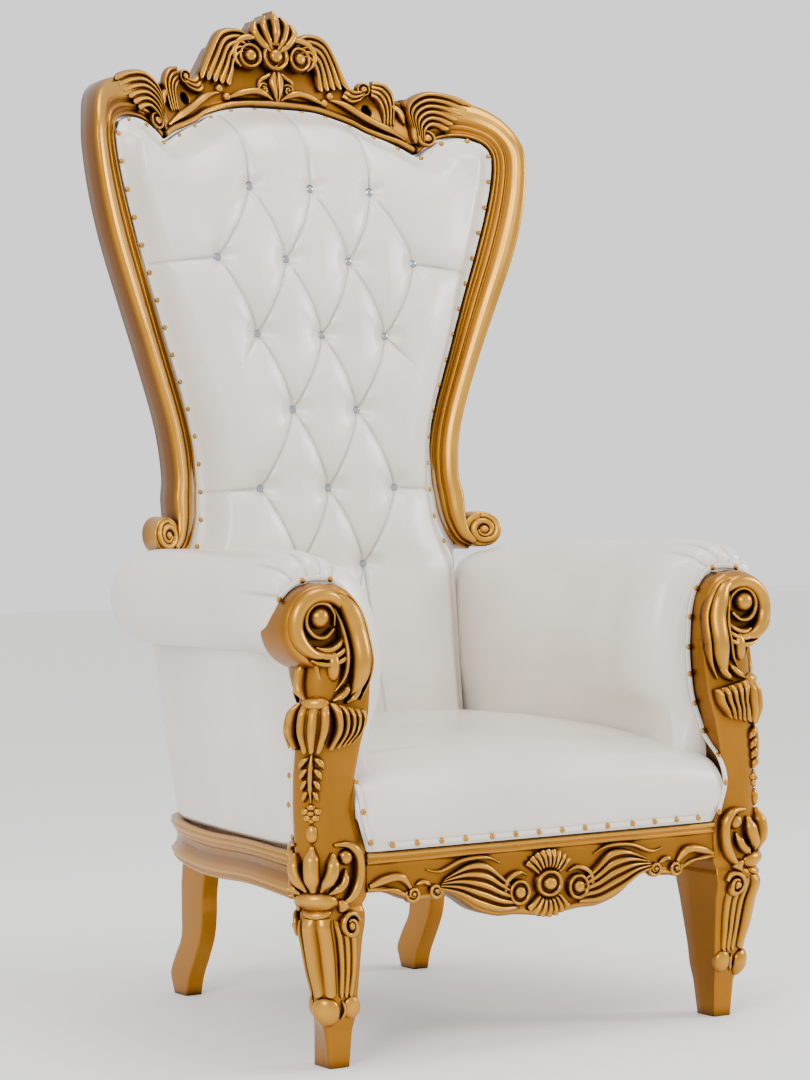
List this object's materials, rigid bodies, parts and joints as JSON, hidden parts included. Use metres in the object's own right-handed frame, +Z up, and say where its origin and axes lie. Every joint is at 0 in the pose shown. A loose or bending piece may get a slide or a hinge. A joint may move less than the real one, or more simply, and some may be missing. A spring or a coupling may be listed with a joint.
{
  "type": "throne chair",
  "caption": "High-backed throne chair: carved gilded hardwood frame with rolled arms, crowned seat and a button-tufted back in pearl vinyl.",
  "frame": {"origin": "centre of the chair's footprint, on the floor", "axes": "+Z up; the chair faces -Y; +X to the right of someone looking at its front; the X = 0 plane is its middle plane, and the two sides mirror about it, exactly but for the crest rail and the front rail, which are off by up to 3 mm and 1 mm"},
  "size_m": [0.9776, 0.923, 1.799],
  "materials": {
    "gilding": "satin metallic antique gold paint over carved hardwood",
    "pearl_vinyl": "pearl white vinyl with a soft sheen",
    "crystal": "clear faceted crystal in a bright cup"
  },
  "bodies": {
    "root": {"front_post_right": "gilding", "front_post_left": "gilding", "front_rail": "gilding", "side_rail_right": "gilding", "side_rail_left": "gilding", "back_rail": "gilding", "rear_leg_right": "gilding", "rear_leg_left": "gilding", "back_stile_right": "gilding", "back_stile_left": "gilding", "crest_rail": "gilding", "back_pad": "pearl_vinyl", "outside_back": "pearl_vinyl", "seat_pad": "pearl_vinyl", "arm_pad_right": "pearl_vinyl", "arm_pad_left": "pearl_vinyl", "side_panel_right": "pearl_vinyl", "side_panel_left": "pearl_vinyl", "crystal_button_01": "crystal", "crystal_button_02": "crystal", "crystal_button_03": "crystal", "crystal_button_04": "crystal", "crystal_button_05": "crystal", "crystal_button_06": "crystal", "crystal_button_07": "crystal", "crystal_button_08": "crystal", "crystal_button_09": "crystal", "crystal_button_10": "crystal", "crystal_button_11": "crystal", "crystal_button_12": "crystal", "crystal_button_13": "crystal", "crystal_button_14": "crystal", "crystal_button_15": "crystal", "crystal_button_16": "crystal", "crystal_button_17": "crystal"}
  },
  "joints": []
}
